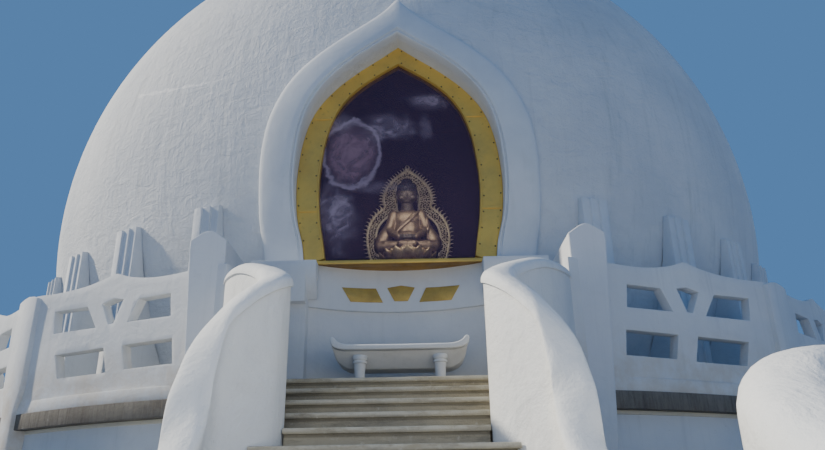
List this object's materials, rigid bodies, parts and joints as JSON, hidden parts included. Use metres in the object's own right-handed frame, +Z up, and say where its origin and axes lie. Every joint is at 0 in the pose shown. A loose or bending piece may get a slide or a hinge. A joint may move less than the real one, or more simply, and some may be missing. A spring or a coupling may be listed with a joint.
{
  "type": "stupa",
  "caption": "White domed stupa on a round terrace with a pierced balustrade, front stair between curved parapets, glazed niche with a seated figure, square block and ringed spire.",
  "frame": {"origin": "centre of the round base on the ground, on the axis of the dome", "axes": "+Z up, the stair faces -Y, the axis of the stair and the gate lies in the plane X = 0"},
  "size_m": [20.4002, 26.854, 29.8],
  "materials": {
    "base_wall_plaster": "white painted render on concrete",
    "slab_concrete": "raw board-marked concrete",
    "balustrade_plaster": "white painted render on concrete",
    "fin_ring_plaster": "white painted render on concrete",
    "dome_shell_plaster": "white painted render on concrete",
    "niche_hood_plaster": "white painted render on concrete",
    "frame_gold": "riveted gilt sheet",
    "window_glass": "dark reflective glass",
    "apse_wall_plaster": "white painted render on concrete",
    "panel_gold": "satin gilt sheet",
    "pilaster_plaster": "white painted render on concrete",
    "seat_gilt": "gilt",
    "figure_gilt": "gilt",
    "halo_gilt": "gilt",
    "altar_tray_plaster": "white painted render on concrete",
    "altar_leg_plaster": "white painted render on concrete",
    "stair_concrete": "weathered cast concrete",
    "parapet_plaster": "white painted render on concrete",
    "wing_wall_plaster": "white painted render on concrete",
    "gate_pier_plaster": "white painted render on concrete",
    "top_block_plaster": "white painted render on concrete",
    "top_cornice_plaster": "white painted render on concrete",
    "spire_gold_rings": "gilt",
    "spire_gold_finial": "gilt"
  },
  "bodies": {
    "root": {"base_wall": "base_wall_plaster", "terrace_slab": "slab_concrete", "balustrade_01": "balustrade_plaster", "balustrade_18": "balustrade_plaster", "balustrade_02": "balustrade_plaster", "balustrade_17": "balustrade_plaster", "balustrade_03": "balustrade_plaster", "balustrade_16": "balustrade_plaster", "balustrade_04": "balustrade_plaster", "balustrade_15": "balustrade_plaster", "balustrade_05": "balustrade_plaster", "balustrade_14": "balustrade_plaster", "balustrade_06": "balustrade_plaster", "balustrade_13": "balustrade_plaster", "balustrade_07": "balustrade_plaster", "balustrade_12": "balustrade_plaster", "balustrade_08": "balustrade_plaster", "balustrade_11": "balustrade_plaster", "balustrade_09": "balustrade_plaster", "balustrade_10": "balustrade_plaster", "fin_ring_1": "fin_ring_plaster", "fin_ring_2": "fin_ring_plaster", "fin_ring_3": "fin_ring_plaster", "fin_ring_6": "fin_ring_plaster", "fin_ring_5": "fin_ring_plaster", "fin_ring_4": "fin_ring_plaster", "dome_shell": "dome_shell_plaster", "niche_hood": "niche_hood_plaster", "window_frame": "frame_gold", "window_glass": "window_glass", "apse_wall": "apse_wall_plaster", "gold_panel_right": "panel_gold", "gold_panel_left": "panel_gold", "gold_panel_middle": "panel_gold", "pilaster_right": "pilaster_plaster", "pilaster_left": "pilaster_plaster", "lotus_seat": "seat_gilt", "statue_figure": "figure_gilt", "statue_halo": "halo_gilt", "altar_tray": "altar_tray_plaster", "altar_leg_left": "altar_leg_plaster", "altar_leg_right": "altar_leg_plaster", "stair_upper": "stair_concrete", "stair_lower": "stair_concrete", "parapet_right": "parapet_plaster", "parapet_left": "parapet_plaster", "wing_wall_right": "wing_wall_plaster", "wing_wall_left": "wing_wall_plaster", "gate_pier_right": "gate_pier_plaster", "gate_pier_left": "gate_pier_plaster", "top_block": "top_block_plaster", "top_cornice": "top_cornice_plaster", "spire_rings": "spire_gold_rings", "spire_finial": "spire_gold_finial"}
  },
  "joints": []
}
